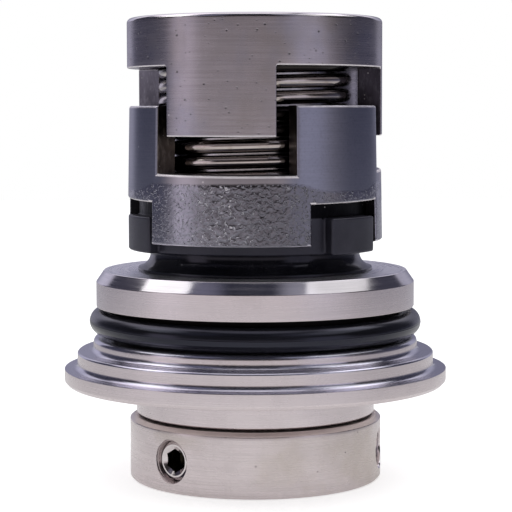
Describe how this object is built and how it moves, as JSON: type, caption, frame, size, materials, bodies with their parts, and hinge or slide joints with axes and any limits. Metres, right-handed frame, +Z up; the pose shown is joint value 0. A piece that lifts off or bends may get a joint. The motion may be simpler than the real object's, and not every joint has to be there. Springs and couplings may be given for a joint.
{
  "type": "cartridge mechanical seal",
  "caption": "Cartridge mechanical seal: drive cup and spring over a rotating face, running on a seat in a flanged gland plate, with a drive collar below.",
  "frame": {"origin": "on the shaft axis, at the underside of the drive collar that the seal stands on", "axes": "+Z up the shaft axis from the collar to the drive cup, -Y towards the viewer of the picture"},
  "size_m": [0.0604, 0.0604, 0.0722],
  "materials": {
    "cup_steel": "fine turned stainless steel, a few nicks",
    "holder_steel": "machined stainless steel over a rough as-cast skirt",
    "plate_steel": "fine turned stainless steel with polished bevels",
    "collar_steel": "satin turned stainless steel",
    "sleeve_steel": "smooth stainless steel tube",
    "spring_steel": "bright drawn stainless wire",
    "screw_steel": "stainless set screw, darker in its socket",
    "face_carbide": "matt dark grey sintered carbide",
    "seat_carbide": "polished black carbide",
    "ring_rubber": "satin black rubber",
    "bush_ptfe": "filled bearing plastic"
  },
  "bodies": {
    "drive": {"drive_collar": "collar_steel", "snap_ring": "spring_steel", "shaft_sleeve": "sleeve_steel", "shaft_o_ring": "ring_rubber", "drive_cup": "cup_steel", "spring": "spring_steel"},
    "head": {"face_holder": "holder_steel", "rotating_face": "face_carbide", "face_o_ring": "ring_rubber"},
    "gland": {"gland_plate": "plate_steel", "gland_o_ring": "ring_rubber", "guide_bush": "bush_ptfe", "stationary_seat": "seat_carbide", "seat_o_ring": "ring_rubber", "anti_rotation_pin": "spring_steel"},
    "screw_1": {"set_screw_1": "screw_steel"},
    "screw_2": {"set_screw_2": "screw_steel"},
    "screw_3": {"set_screw_3": "screw_steel"}
  },
  "joints": [
    {"name": "head_slide", "type": "slide", "parent": "drive", "child": "head", "axis": [0, 0, 1], "range_m": [0, 0.0015], "stiffness_N_per_m": 1100, "deforming": ["spring"]},
    {"name": "gland_spin", "type": "hinge", "parent": "head", "child": "gland", "pos_m": [0, 0, 0.03623], "axis": [0, 0, 1], "continuous": true},
    {"name": "set_screw_1_turn", "type": "hinge", "parent": "drive", "child": "screw_1", "pos_m": [-0.01235, -0.01457, 0.0049], "axis": [0.6468, 0.7627, 0], "range_deg": [0, 72]},
    {"name": "set_screw_2_turn", "type": "hinge", "parent": "drive", "child": "screw_2", "pos_m": [0.01879, -0.00342, 0.0049], "axis": [-0.9839, 0.1788, 0], "range_deg": [0, 72]},
    {"name": "set_screw_3_turn", "type": "hinge", "parent": "drive", "child": "screw_3", "pos_m": [-0.00644, 0.01798, 0.0049], "axis": [0.3371, -0.9415, 0], "range_deg": [0, 72]}
  ]
}
